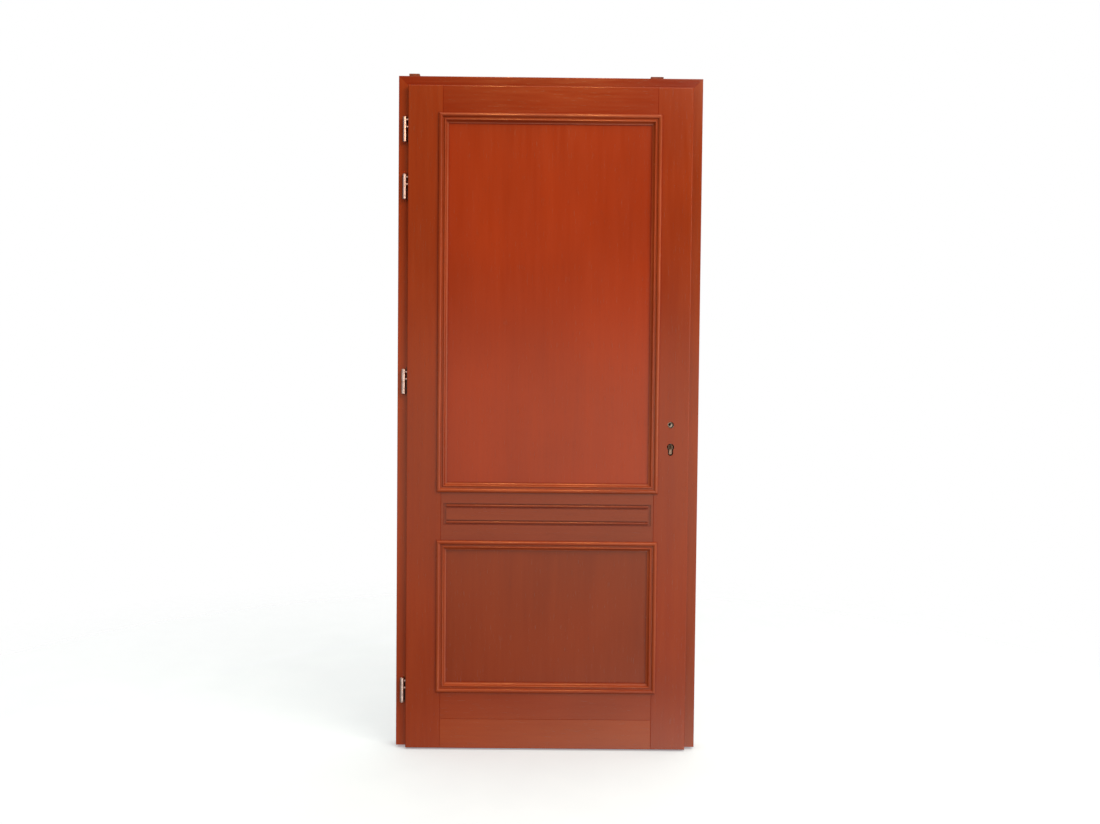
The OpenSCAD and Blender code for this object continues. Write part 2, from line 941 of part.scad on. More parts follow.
// The long screw from the forend that holds the cylinder
module cylinder_screw() {
    head_h = 2;
    length = backset + foot_r - 1;
    color(steel) translate([body_x, lock_y, cyl_screw_z]) rotate([0, -90, 0]) {
        cylinder(d1 = cyl_screw_d + 2 * head_h, d2 = cyl_screw_d, h = head_h);
        cylinder(d = cyl_screw_d, h = length);
    }
}

frame_hinge_jamb();
frame_lock_jamb();
frame_head();
stop_hinge_side();
stop_lock_side();
stop_head();
threshold();
frame_seal();
head_packers();
strike_plate();
strike_screws();
hinge_stile();
lock_stile();
top_rail();
middle_rail();
bottom_rail();
bottom_rail_board();
upper_panel();
lower_panel();
for (i = [0:3]) {
    side = mould_sides[i];
    number = i + 1;
    moulding(upper_h, upper_z, true, i);
    moulding(upper_h, upper_z, false, i);
    moulding(lower_h, lower_z, true, i);
    moulding(lower_h, lower_z, false, i);
    leaf_knuckle(hinge_zs[i]);
    frame_knuckle(hinge_zs[i]);
}
hinge_pins();
hinge_washers();
lock_case();
lock_cover();
lock_forend();
forend_screws();
spindle_follower();
latch_bolt();
dead_bolt();
cylinder_body();
cylinder_plug();
cylinder_rear_plug();
cylinder_cam();
cylinder_screw();
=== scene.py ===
# Panelled front door in its timber frame: a stained hardwood leaf with two panels
# in planted mouldings, hung on four lift-off hinges, with a mortice lock.
import math

import bpy
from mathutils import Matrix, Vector


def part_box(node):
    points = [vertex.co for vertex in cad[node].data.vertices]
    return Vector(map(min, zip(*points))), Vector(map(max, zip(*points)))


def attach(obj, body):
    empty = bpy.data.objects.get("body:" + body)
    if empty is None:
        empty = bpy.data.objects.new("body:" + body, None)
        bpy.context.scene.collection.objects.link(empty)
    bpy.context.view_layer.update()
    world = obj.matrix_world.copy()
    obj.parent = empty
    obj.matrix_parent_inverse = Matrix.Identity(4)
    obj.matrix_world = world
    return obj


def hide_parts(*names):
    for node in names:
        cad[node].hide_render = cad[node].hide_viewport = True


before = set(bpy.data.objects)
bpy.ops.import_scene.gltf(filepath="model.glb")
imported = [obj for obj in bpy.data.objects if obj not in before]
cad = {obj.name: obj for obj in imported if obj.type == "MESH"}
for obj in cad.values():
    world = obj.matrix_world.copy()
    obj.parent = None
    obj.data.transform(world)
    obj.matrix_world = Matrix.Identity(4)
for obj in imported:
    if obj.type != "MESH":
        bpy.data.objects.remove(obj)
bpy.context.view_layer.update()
bpy.ops.object.select_all(action="DESELECT")


# The view: a camera 3.6 m in front of the closed door, a little above its middle,
# tipped slightly down and leaning half a degree.
CAMERA_PLACE = (-0.0116, -3.6124, 1.2365)
CAMERA_TURN = (87.928, -0.557, -0.268)
bpy.ops.object.camera_add(
    location=CAMERA_PLACE,
    rotation=[math.radians(turn) for turn in CAMERA_TURN],
)
camera = bpy.context.object
camera.name = "camera"
camera.data.lens = 36.0
camera.data.sensor_width = 36.0
bpy.context.scene.camera = camera
bpy.context.scene.view_settings.view_transform = "Standard"
bpy.ops.object.select_all(action="DESELECT")


# The fixed frame: two jambs and a mitred head of finger-jointed hardwood, planted
# stop strips and a low threshold, all sprayed with one red-brown stain and a satin
# lacquer that lets the pores show. It is screwed to the wall through the jambs.
def put(tree, kind, fixed=(), wired=()):
    """One shader node, with its fixed values and the sockets wired into it."""
    made = tree.nodes.new("ShaderNode" + kind)
    for name, value in dict(fixed).items():
        if isinstance(name, str) and name not in made.inputs:
            setattr(made, name, value)
        else:
            made.inputs[name].default_value = value
    for name, source in dict(wired).items():
        tree.links.new(source, made.inputs[name])
    return made


def shader_group(name, takes, gives):
    """An empty shader node group with named sockets: the tree, its inlet and its outlet."""
    tree = bpy.data.node_groups.new(name, "ShaderNodeTree")
    for label, kind, value in takes:
        socket = tree.interface.new_socket(label, in_out="INPUT", socket_type="NodeSocket" + kind)
        socket.default_value = value
    for label, kind in gives:
        tree.interface.new_socket(label, in_out="OUTPUT", socket_type="NodeSocket" + kind)
    inlet = tree.nodes.new("NodeGroupInput").outputs
    outlet = tree.nodes.new("NodeGroupOutput").inputs
    return tree, inlet, outlet


def spread(tree, source, low, high, out_low, out_high):
    """A value stretched from one range to another and held at its ends."""
    fixed = {"From Min": low, "From Max": high, "To Min": out_low, "To Max": out_high}
    return put(tree, "MapRange", fixed, {"Value": source}).outputs[0]


def sum_of(tree, first, second, share):
    """The first value plus a share of the second."""
    part = put(tree, "Math", {"operation": "MULTIPLY", 1: share}, {0: second}).outputs[0]
    return put(tree, "Math", {"operation": "ADD"}, {0: first, 1: part}).outputs[0]


def times(tree, first, second):
    """Two values multiplied."""
    return put(tree, "Math", {"operation": "MULTIPLY"}, {0: first, 1: second}).outputs[0]


def mixed(tree, share, first, second, way="MIX"):
    """Two colours mixed by a share; each may be a socket or a plain colour."""
    fixed = {"data_type": "RGBA", "blend_type": way}
    wired = {}
    for place, value in ((0, share), (6, first), (7, second)):
        if isinstance(value, bpy.types.NodeSocket):
            wired[place] = value
        else:
            fixed[place] = value
    return put(tree, "Mix", fixed, wired).outputs[2]


def tint(red, green, blue):
    """A colour of a paint chart, 0 to 255, as linear light."""
    chart = [part / 255 for part in (red, green, blue)]
    linear = [c / 12.92 if c < 0.04045 else ((c + 0.055) / 1.055) ** 2.4 for c in chart]
    return linear + [1.0]


def new_material(name):
    """An empty material: itself, its node tree, its surface and its object coordinates."""
    material = bpy.data.materials.new(name)
    material.use_nodes = True
    tree = material.node_tree
    return material, tree, tree.nodes["Principled BSDF"], put(tree, "TexCoord").outputs["Object"]


# Grain: broad bands, lines and fibres drawn out along the plank, with dark open pores.
grain_tree, inlet, outlet = shader_group(
    "stained_grain",
    [("Along", "Vector", (0, 0, 0)), ("Deep", "Color", (0, 0, 0, 1)),
     ("Pale", "Color", (1, 1, 1, 1))],
    [("Color", "Color"), ("Roughness", "Float"), ("Height", "Float")],
)
plank = inlet["Along"]
drawn = put(grain_tree, "Mapping", {"Scale": (1, 1, 0.05)}, {"Vector": plank}).outputs[0]
band_look = {"Scale": 12, "Detail": 3, "Distortion": 0.5}
bands = put(grain_tree, "TexNoise", band_look, {"Vector": drawn}).outputs[0]
lines = put(grain_tree, "TexNoise", {"Scale": 90, "Detail": 4}, {"Vector": drawn}).outputs[0]
fibres = put(grain_tree, "TexNoise", {"Scale": 560, "Detail": 2}, {"Vector": drawn}).outputs[0]
clouds = put(grain_tree, "TexNoise", {"Scale": 2.6, "Detail": 2}, {"Vector": plank}).outputs[0]
figure = sum_of(grain_tree, sum_of(grain_tree, bands, lines, 0.6), fibres, 0.4)
figure = spread(grain_tree, figure, 0.72, 1.28, 0, 1)
pores = spread(grain_tree, fibres, 0.60, 0.75, 0, 1)
cloud_shade = spread(grain_tree, clouds, 0.3, 0.7, 0.93, 1.07)
pore_shade = spread(grain_tree, pores, 0, 1, 1, 0.74)
stained = mixed(grain_tree, figure, inlet["Deep"], inlet["Pale"])
stained = mixed(grain_tree, 1.0, stained, cloud_shade, "MULTIPLY")
stained = mixed(grain_tree, 1.0, stained, pore_shade, "MULTIPLY")
grain_tree.links.new(stained, outlet["Color"])
satin = sum_of(grain_tree, spread(grain_tree, lines, 0.3, 0.7, 0.165, 0.225), pores, 0.12)
grain_tree.links.new(satin, outlet["Roughness"])
height = sum_of(grain_tree, sum_of(grain_tree, fibres, lines, 0.7), pores, -0.6)
grain_tree.links.new(height, outlet["Height"])

# Edges: a mask where an arris stands proud, in patches, for rubbed wear, painted highlight or dark
# joints, and painted shade in corners and between parts, from ambient occlusion.
arris_tree, inlet, outlet = shader_group(
    "arris_edges_and_shade",
    [("Reach", "Float", 0.003), ("Place", "Vector", (0, 0, 0))],
    [("Edge_mask", "Float"), ("Painted_shade", "Float")],
)
softened = put(arris_tree, "Bevel", {"samples": 6}, {"Radius": inlet["Reach"]}).outputs[0]
flat = put(arris_tree, "NewGeometry").outputs["Normal"]
agreed = put(arris_tree, "VectorMath", {"operation": "DOT_PRODUCT"}, {0: softened, 1: flat})
turned_edge = spread(arris_tree, agreed.outputs["Value"], 0.985, 0.80, 0, 1)
# Painted shade: ambient occlusion finds corners and the gaps between parts, which are darkened.
open_air = put(arris_tree, "AmbientOcclusion", {"samples": 6, "Distance": 0.004}).outputs["AO"]
occluded_shade = spread(arris_tree, open_air, 0.92, 0.50, 0, 1)
patch_look = {"Scale": 38, "Detail": 4}
patches = put(arris_tree, "TexNoise", patch_look, {"Vector": inlet["Place"]}).outputs[0]
patches = spread(arris_tree, patches, 0.32, 0.62, 0.25, 1)
proud = put(arris_tree, "Math", {"operation": "SUBTRACT", 0: 1.0}, {1: occluded_shade}).outputs[0]
proud_arris = times(arris_tree, times(arris_tree, turned_edge, proud), patches)
arris_tree.links.new(proud_arris, outlet["Edge_mask"])
arris_tree.links.new(occluded_shade, outlet["Painted_shade"])

GRAIN_TURN = {"up": (0, 0, 0), "across": (0, math.radians(90), 0)}
TIMBER_ARRIS = 0.003
# The dark of joint lines and of the painted shade in corners, as shares of the deep stain.
JOINT_AND_SHADE_DARK = (0.78, 0.20, 0.10)


def stained_timber(name, deep, pale, along, shift, rub_and_sheen=0.0, joint=0.45, corner_shade=0.75, mark=None):
    """Lacquered hardwood. Deep and pale are the stain in close and open grain, along is the
    way the grain runs, and shift cuts the piece from another place of the plank. Edges are
    lightened by the rub share, partly as rubbed wear and partly as a painted highlight, or
    else darkened as joints by joint, and corners and the gaps between parts are darkened as
    painted shade by the corner share. A mark has a mask over the piece, a colour, its share,
    and how much rougher it is there."""
    material, tree, surface, place = new_material(name)
    cut = {"Location": shift, "Rotation": GRAIN_TURN[along]}
    plank = put(tree, "Mapping", cut, {"Vector": place}).outputs[0]
    stain = {"node_tree": grain_tree, "Deep": tint(*deep), "Pale": tint(*pale)}
    grain = put(tree, "Group", stain, {"Along": plank}).outputs
    edges = {"node_tree": arris_tree, "Reach": TIMBER_ARRIS}
    arris = put(tree, "Group", edges, {"Place": plank}).outputs
    # Edge lightening: partly rubbed wear, partly a painted highlight on the arris.
    lit = [min(1.0, 1.45 * part + 0.02) for part in tint(*pale)[:3]] + [1.0]
    dark = [share * part for share, part in zip(JOINT_AND_SHADE_DARK, tint(*deep))] + [1.0]
    edge_share, edge_colour = (rub_and_sheen, lit) if rub_and_sheen else (joint, dark)
    edge = spread(tree, arris["Edge_mask"], 0, 1, 0, edge_share)
    colour = mixed(tree, edge, grain["Color"], edge_colour)
    # Painted shade: darker in corners and in the gaps between parts.
    colour = mixed(tree, spread(tree, arris["Painted_shade"], 0, 1, 0, corner_shade), colour, dark)
    satin = grain["Roughness"]
    if mark:
        mask_over, mark_colour, share, rougher = mark
        mask = mask_over(tree, place)
        colour = mixed(tree, spread(tree, mask, 0, 1, 0, share), colour, tint(*mark_colour))
        if rougher:
            satin = sum_of(tree, satin, mask, rougher)
    tree.links.new(colour, surface.inputs["Base Color"])
    tree.links.new(satin, surface.inputs["Roughness"])
    raised = put(tree, "Bump", {"Strength": 0.04, "Distance": 0.0005}, {"Height": grain["Height"]})
    tree.links.new(raised.outputs[0], surface.inputs["Normal"])
    surface.inputs["Coat Weight"].default_value = 0.10
    surface.inputs["Coat Roughness"].default_value = 0.16
    return material


def off_from(tree, source, middle):
    """How far a value lies from the middle, either way."""
    off = put(tree, "Math", {"operation": "SUBTRACT", 1: middle}, {0: source}).outputs[0]
    return put(tree, "Math", {"operation": "ABSOLUTE"}, {0: off}).outputs[0]


HINGE_HEIGHTS = (2.012, 1.829, 1.202, 0.193)
SHADE_LEFT, SHADE_RIGHT, SHADE_DEEP = (-0.4665, -0.4635), (-0.4560, -0.4550), (-0.032, -0.026)
SHADE_UP_AND_DOWN = (0.036, 0.050)


def shade_beside_hinges(tree, place):
    """A mask of the jamb's front beside each hinge, painted near black as the shade that falls in
    the gap beside the knuckle.
    """
    at = put(tree, "SeparateXYZ", {}, {0: place}).outputs
    strip = times(tree, spread(tree, at["X"], *SHADE_LEFT, 0, 1),
                  spread(tree, at["X"], *SHADE_RIGHT, 1, 0))
    strip = times(tree, strip, spread(tree, at["Y"], *SHADE_DEEP, 1, 0))
    blotches = [spread(tree, off_from(tree, at["Z"], height), *SHADE_UP_AND_DOWN, 1, 0)
              for height in HINGE_HEIGHTS]
    knuckle_shade = blotches[0]
    for other in blotches[1:]:
        knuckle_shade = sum_of(tree, knuckle_shade, other, 1.0)
    return times(tree, knuckle_shade, strip)


def dress(material, *names):
    """Gives the named CAD nodes this finish."""
    for name in names:
        cad[name].data.materials.clear()
        cad[name].data.materials.append(material)


# Painted shade: the jamb's front beside each hinge is turned near black.
HINGE_SHADE = (shade_beside_hinges, (24, 10, 8), 0.9, 0.0)
dress(stained_timber("frame_upright", (163, 58, 17), (176, 69, 21), "up", (0.31, 1.7, 0.4),
                     mark=HINGE_SHADE),
      "frame_hinge_jamb", "stop_hinge_side")
dress(stained_timber("frame_lock_upright", (148, 55, 19), (161, 64, 22), "up", (3.7, 0.8, 1.6)),
      "frame_lock_jamb", "stop_lock_side")
dress(stained_timber("frame_across", (140, 38, 6), (151, 46, 9), "across", (2.6, 0.2, 0.9)),
      "frame_head", "stop_head")
dress(stained_timber("threshold_oak", (128, 48, 21), (154, 69, 30), "across", (4.1, 2.2, 0.3),
                     rub_and_sheen=0.6),
      "threshold")


# The frame seal: a black rubber lip pressed into a groove of the stops, where the
# closed leaf meets it all round.
def dull_rubber(name):
    """Black extruded rubber with a faint bloom and a little dust."""
    material, tree, surface, place = new_material(name)
    bloom = put(tree, "TexNoise", {"Scale": 60, "Detail": 5}, {"Vector": place}).outputs[0]
    dust = put(tree, "TexNoise", {"Scale": 900, "Detail": 2}, {"Vector": place}).outputs[0]
    bloomed = spread(tree, bloom, 0.35, 0.7, 0, 1)
    dusted = spread(tree, dust, 0.62, 0.75, 0, 0.5)
    colour = mixed(tree, bloomed, tint(22, 20, 20), tint(44, 40, 38))
    colour = mixed(tree, dusted, colour, tint(110, 92, 80))
    tree.links.new(colour, surface.inputs["Base Color"])
    tree.links.new(spread(tree, bloom, 0.3, 0.7, 0.55, 0.75), surface.inputs["Roughness"])
    raised = put(tree, "Bump", {"Strength": 0.2, "Distance": 0.0002}, {"Height": dust})
    tree.links.new(raised.outputs[0], surface.inputs["Normal"])
    return material


dress(dull_rubber("seal_rubber"), "frame_seal")


# The packers: two offcuts of the same hardwood, tacked on top of the head to carry
# the frame in transport. They are sawn, stained once and not lacquered.
def sawn_offcut(name, deep, pale, soaked_dark):
    """Rough-sawn timber with one thin coat of stain, dark where it soaked in."""
    material, tree, surface, place = new_material(name)
    plank = put(tree, "Mapping", {"Rotation": GRAIN_TURN["across"]}, {"Vector": place}).outputs[0]
    stain = {"node_tree": grain_tree, "Deep": tint(*deep), "Pale": tint(*pale)}
    grain = put(tree, "Group", stain, {"Along": plank}).outputs
    saw_look = {"Scale": 160, "Distortion": 3, "Detail": 2}
    saw = put(tree, "TexWave", saw_look, {"Vector": place}).outputs[1]
    soaked = put(tree, "TexNoise", {"Scale": 70, "Detail": 4}, {"Vector": place}).outputs[0]
    soaked_share = spread(tree, soaked, 0.42, 0.62, 0, 0.8)
    colour = mixed(tree, soaked_share, grain["Color"], tint(*soaked_dark))
    tree.links.new(colour, surface.inputs["Base Color"])
    tree.links.new(spread(tree, soaked, 0.3, 0.7, 0.88, 0.66), surface.inputs["Roughness"])
    rough = sum_of(tree, grain["Height"], saw, 0.8)
    raised = put(tree, "Bump", {"Strength": 0.6, "Distance": 0.0008}, {"Height": rough})
    tree.links.new(raised.outputs[0], surface.inputs["Normal"])
    return material


dress(sawn_offcut("packer_offcut", (112, 36, 18), (178, 98, 58), (96, 30, 14)), "head_packers")


# The strike plate: a stamped nickel-plated steel strip let into the lock jamb, with
# two openings for the bolts, held by two countersunk cross-head screws.
metal_tree, inlet, outlet = shader_group(
    "handled_metal",
    [("Place", "Vector", (0, 0, 0)), ("Bright", "Color", (1, 1, 1, 1)),
     ("Dull", "Color", (0, 0, 0, 1)), ("Fine", "Float", 1.0)],
    [("Color", "Color"), ("Roughness", "Float"), ("Height", "Float")],
)
here = inlet["Place"]
brushed = put(metal_tree, "Mapping", {"Scale": (1, 1, 0.04)}, {"Vector": here}).outputs[0]
hairs = put(metal_tree, "TexNoise", {"Scale": 2600, "Detail": 3}, {"Vector": brushed}).outputs[0]
smear_look = {"Scale": 75, "Detail": 5, "Roughness": 0.6}
blotches = put(metal_tree, "TexNoise", smear_look, {"Vector": here}).outputs[0]
specks = put(metal_tree, "TexVoronoi", {"Scale": 420}, {"Vector": here}).outputs["Distance"]
specks = spread(metal_tree, specks, 0.05, 0.20, 1, 0)
tarnish = sum_of(metal_tree, spread(metal_tree, blotches, 0.38, 0.70, 0, 0.8), specks, 0.25)
metal_tree.links.new(mixed(metal_tree, tarnish, inlet["Bright"], inlet["Dull"]), outlet["Color"])
polish = sum_of(metal_tree, spread(metal_tree, blotches, 0.3, 0.75, 0.20, 0.42), hairs, 0.10)
metal_tree.links.new(polish, outlet["Roughness"])
scratched = sum_of(metal_tree, times(metal_tree, hairs, inlet["Fine"]), specks, -0.4)
metal_tree.links.new(scratched, outlet["Height"])

METAL_ARRIS = 0.0008


def plated_metal(name, bright, dull, fine=1.0, rim_shade=0.0):
    """Plated metal with hair lines, hand smears and specks. Its edges are lightened, partly as
    rubbed wear and partly as a painted highlight, or else darkened as painted shade over a
    rim of so many metres. Corners and the gaps between parts are darkened as painted shade."""
    material, tree, surface, place = new_material(name)
    surface.inputs["Metallic"].default_value = 1.0
    plate = {"node_tree": metal_tree, "Bright": tint(*bright), "Dull": tint(*dull), "Fine": fine}
    metal = put(tree, "Group", plate, {"Place": place}).outputs
    rim = {"node_tree": arris_tree, "Reach": rim_shade or METAL_ARRIS}
    arris = put(tree, "Group", rim, {"Place": place}).outputs
    # Edge lightening: partly rubbed wear, partly a painted highlight on the arris.
    lit = [min(1.0, 1.2 * part) for part in tint(*bright)[:3]] + [1.0]
    dark = [0.35 * part for part in tint(*dull)[:3]] + [1.0]
    # Painted shade: with a rim, the edge is darkened instead of lightened.
    if rim_shade:
        colour = mixed(tree, spread(tree, arris["Edge_mask"], 0, 0.6, 0, 0.95), metal["Color"], dark)
    else:
        colour = mixed(tree, spread(tree, arris["Edge_mask"], 0, 1, 0, 0.5), metal["Color"], lit)
    # Painted shade: darker in corners and in the gaps between parts.
    colour = mixed(tree, spread(tree, arris["Painted_shade"], 0, 1, 0, 0.7), colour, dark)
    tree.links.new(colour, surface.inputs["Base Color"])
    tree.links.new(metal["Roughness"], surface.inputs["Roughness"])
    raised = put(tree, "Bump", {"Strength": 0.12, "Distance": 0.0001}, {"Height": metal["Height"]})
    tree.links.new(raised.outputs[0], surface.inputs["Normal"])
    return material


hinge_nickel = plated_metal("hinge_nickel", (222, 204, 204), (166, 144, 140))
dress(hinge_nickel, "strike_plate")


def choose_faces(facing):
    """In edit mode, selects only the faces that look up (1) or down (-1)."""
    bpy.ops.mesh.select_all(action="DESELECT")
    bpy.ops.object.mode_set(mode="OBJECT")
    for face in bpy.context.object.data.polygons:
        face.select = facing * face.normal.z > 0.9
    bpy.ops.object.mode_set(mode="EDIT")


HEAD_RADIUS, SHANK_RADIUS, HEAD_DEEP = 0.00395, 0.002, 0.002
SHANK_LONG, POINT_LONG, POINT_SHARE = 0.0205, 0.0033, 0.12
RIM_WIDE, MIDDLE_PROUD = 0.0004, 0.00012
RECESS_WIDE, RECESS_SLOT, RECESS_TALL, RECESS_LOW = 0.0046, 0.0009, 0.0022, -0.0004
RECESS_TAPER = (0.45, 0.7, 1)


def countersunk_screw(name):
    """A 4 by 26 mm countersunk screw, head up at the origin, with its cross recess."""
    bpy.ops.object.select_all(action="DESELECT")
    bpy.ops.mesh.primitive_cone_add(vertices=40, radius1=SHANK_RADIUS, radius2=HEAD_RADIUS,
                                    depth=HEAD_DEEP, location=(0, 0, -HEAD_DEEP / 2))
    screw = bpy.context.object
    screw.name = name
    bpy.ops.object.mode_set(mode="EDIT")
    choose_faces(-1)
    bpy.ops.mesh.extrude_region_move(TRANSFORM_OT_translate={"value": (0, 0, -SHANK_LONG)})
    bpy.ops.mesh.extrude_region_move(TRANSFORM_OT_translate={"value": (0, 0, -POINT_LONG)})
    tip = -HEAD_DEEP - SHANK_LONG - POINT_LONG
    bpy.ops.transform.resize(value=(POINT_SHARE, POINT_SHARE, 1), center_override=(0, 0, tip))
    choose_faces(1)
    bpy.ops.mesh.inset(thickness=RIM_WIDE, depth=MIDDLE_PROUD)
    bpy.ops.object.mode_set(mode="OBJECT")
    bpy.ops.object.select_all(action="DESELECT")
    bpy.ops.mesh.primitive_cube_add(size=1, location=(0, 0, RECESS_LOW),
                                    scale=(RECESS_WIDE, RECESS_SLOT, RECESS_TALL))
    cutter = bpy.context.object
    bpy.ops.object.transform_apply(location=True, rotation=True, scale=True)
    bpy.ops.object.mode_set(mode="EDIT")
    choose_faces(-1)
    recess_foot = RECESS_LOW - RECESS_TALL / 2
    bpy.ops.transform.resize(value=RECESS_TAPER, center_override=(0, 0, recess_foot))
    bpy.ops.mesh.select_all(action="SELECT")
    bpy.ops.mesh.duplicate()
    bpy.ops.transform.rotate(value=math.radians(90), orient_axis="Z", center_override=(0, 0, 0))
    bpy.ops.object.mode_set(mode="OBJECT")
    recess = screw.modifiers.new("recess", "BOOLEAN")
    recess.operation = "DIFFERENCE"
    recess.solver = "EXACT"
    recess.use_self = True
    recess.object = cutter
    bpy.context.view_layer.objects.active = screw
    bpy.ops.object.modifier_apply(modifier="recess")
    bpy.data.objects.remove(cutter)
    screw.select_set(True)
    bpy.ops.object.shade_smooth_by_angle(angle=math.radians(35))
    return screw


def set_screw(pattern, name, place, quarter_turn, slot_turn, body, node):
    """Copies the screw, sinks it at its place, and has it stand for the CAD screws."""
    screw = pattern.copy()
    screw.data = pattern.data.copy()
    screw.name = name
    bpy.context.collection.objects.link(screw)
    bpy.ops.object.select_all(action="DESELECT")
    screw.select_set(True)
    bpy.context.view_layer.objects.active = screw
    screw.rotation_euler = (0, 0, slot_turn)
    bpy.ops.object.transform_apply(location=False, rotation=True, scale=False)
    screw.rotation_euler = (0, quarter_turn, 0)
    screw.location = place
    bpy.ops.object.transform_apply(location=True, rotation=True, scale=True)
    screw.data.materials.clear()
    screw.data.materials.append(hinge_nickel)
    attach(screw, body)
    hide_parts(node)


CAD_HEAD_RADIUS = 0.004
pattern_screw = countersunk_screw("pattern_screw")
low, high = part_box("strike_screws")
strike_screws = ((low.z + CAD_HEAD_RADIUS, 0.4), (high.z - CAD_HEAD_RADIUS, 1.1))
for number, (height_up, slot_turn) in enumerate(strike_screws, 1):
    set_screw(pattern_screw, f"strike_screw_{number}", (low.x, (low.y + high.y) / 2, height_up),
              math.radians(-90), slot_turn, "frame", "strike_screws")


# The leaf: two stiles and three rails of laminated hardwood, mortised and tenoned,
# rebated all round to lap the frame. The middle rail carries a grooved field, and the
# bottom rail has a second board under it. The lock stile is bored for the lock.
SPINDLE = (0.398, -0.017, 1.069)
BORES_WIDE, BORES_FOOT, BORES_TOP = (0.0130, 0.0135), (0.90, 0.91), (1.09, 1.10)


def bore_walls_shade(tree, place):
    """A mask of the walls of the holes for the spindle and the cylinder: raw wood, made rougher,
    and painted dark brown as the shade inside the holes.
    """
    at = put(tree, "SeparateXYZ", {}, {0: place}).outputs
    outward = put(tree, "TexCoord").outputs["Normal"]
    forward = put(tree, "SeparateXYZ", {}, {0: outward}).outputs["Y"]
    sideways = spread(tree, off_from(tree, forward, 0.0), 0.3, 0.5, 1, 0)
    near = spread(tree, off_from(tree, at["X"], SPINDLE[0]), *BORES_WIDE, 1, 0)
    wall = times(tree, sideways, near)
    wall = times(tree, wall, spread(tree, at["Z"], *BORES_FOOT, 0, 1))
    return times(tree, wall, spread(tree, at["Z"], *BORES_TOP, 1, 0))


# Painted shade: the bore walls are dark brown as the shade inside the holes, and rougher as raw
# wood.
RAW_BORE_SHADE = (bore_walls_shade, (70, 36, 22), 1.0, 0.6)
dress(stained_timber("stile_upright", (150, 51, 13), (161, 60, 17), "up", (0.7, 0.3, 2.9)),
      "hinge_stile")
dress(stained_timber("stile_bored", (149, 49, 11), (160, 58, 14), "up", (4.4, 1.1, 0.6),
                     mark=RAW_BORE_SHADE),
      "lock_stile")
dress(stained_timber("rail_across", (148, 46, 11), (157, 53, 13), "across", (1.3, 3.1, 0.2)),
      "top_rail")
# The middle rail is stained a cooler mauve than the other rails: partly its own tone, partly a
# painted cool reflection.
dress(stained_timber("rail_mauve", (138, 51, 27), (148, 61, 32), "across", (5.9, 1.4, 2.2),
                     joint=0.3, corner_shade=0.5),
      "middle_rail")
dress(stained_timber("rail_foot", (147, 52, 17), (158, 61, 22), "across", (3.4, 4.7, 1.1)),
      "bottom_rail")
# Painted light: the lower board is stained lighter than the rail above, standing in for light
# bounced up from the floor.
dress(stained_timber("board_foot", (157, 62, 25), (168, 71, 29), "across", (7.2, 0.9, 3.7)),
      "bottom_rail_board")


# The panels: two flat boards of veneered core, let loose into grooves of the stiles
# and rails so that they can move, with the veneer's grain upright.
dress(stained_timber("panel_upper", (162, 52, 12), (171, 57, 14), "up", (2.4, 5.3, 0.8)),
      "upper_panel")
dress(stained_timber("panel_lower", (139, 50, 16), (148, 56, 19), "up", (6.1, 2.7, 1.9)),
      "lower_panel")


# The mouldings: planted strips with a round bead, a cove and a small inner bead,
# mitred at the corners and pinned round each panel on both faces.
# The mouldings are stained lighter and more orange than the stiles: partly their own tone, partly a
# painted highlight on their rounded faces.
upright_moulding = stained_timber("moulding_upright", (150, 54, 19), (182, 82, 40), "up",
                                  (1.9, 0.6, 4.4), corner_shade=0.3)
across_moulding = stained_timber("moulding_across", (150, 54, 19), (184, 84, 41), "across",
                                 (0.5, 2.8, 3.3), corner_shade=0.3)
for panel in ("upper", "lower"):
    for side in ("front", "back"):
        lengths = f"{panel}_{side}_moulding_"
        dress(upright_moulding, lengths + "lock_side", lengths + "hinge_side")
        dress(across_moulding, lengths + "top", lengths + "bottom")


# The hinges: four lift-off pairs of turned steel knuckles, nickel plated, each with a
# steel pin in the lower knuckle and a bronze washer between the two. Their collection
# lets one lamp light the hinges alone.
dress(hinge_nickel, "hinge_pins")
for number in range(1, 5):
    dress(hinge_nickel, f"hinge_{number}_leaf_knuckle", f"hinge_{number}_frame_knuckle")
dress(plated_metal("washer_bronze", (196, 146, 92), (112, 74, 44)), "hinge_washers")
hinge_metal = bpy.data.collections.new("hinge_metal")
for name in cad:
    if name.startswith("hinge_") and name != "hinge_stile":
        hinge_metal.objects.link(cad[name])


# The mortice lock: a zinc-plated sheet-steel case with its cover, let into the lock
# stile, with the latch, the dead bolt and the follower that a square spindle turns.
# A black card closes the open socket behind the follower's face: painted shade, standing in for the
# dark inside the socket.
lock_zinc = plated_metal("lock_zinc", (208, 192, 182), (132, 118, 108), fine=0.6)
dress(lock_zinc, "lock_case", "lock_cover", "latch_bolt", "dead_bolt", "spindle_follower")
dress(hinge_nickel, "lock_forend")
low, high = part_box("forend_screws")
forend_screws = ((low.z + CAD_HEAD_RADIUS, 0.9), (high.z - CAD_HEAD_RADIUS, 0.2))
for number, (height_up, slot_turn) in enumerate(forend_screws, 1):
    set_screw(pattern_screw, f"forend_screw_{number}", (high.x, (low.y + high.y) / 2, height_up),
              math.radians(90), slot_turn, "leaf", "forend_screws")
bpy.data.objects.remove(pattern_screw)
lock_metal = bpy.data.collections.new("lock_metal")
lock_metal.objects.link(cad["spindle_follower"])
# Painted shade: a black card put in the follower's socket, where only shade is.
SOCKET_CARD = 0.0082
bpy.ops.object.select_all(action="DESELECT")
bpy.ops.mesh.primitive_plane_add(size=SOCKET_CARD, location=SPINDLE,
                                 rotation=(math.radians(90), 0, 0))
socket_shade_card = bpy.context.object
socket_shade_card.name = "socket_shade_card"
bpy.ops.object.transform_apply(location=True, rotation=True, scale=True)
socket_shade_card.data.materials.append(dull_rubber("shade_card_black"))
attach(socket_shade_card, "follower")


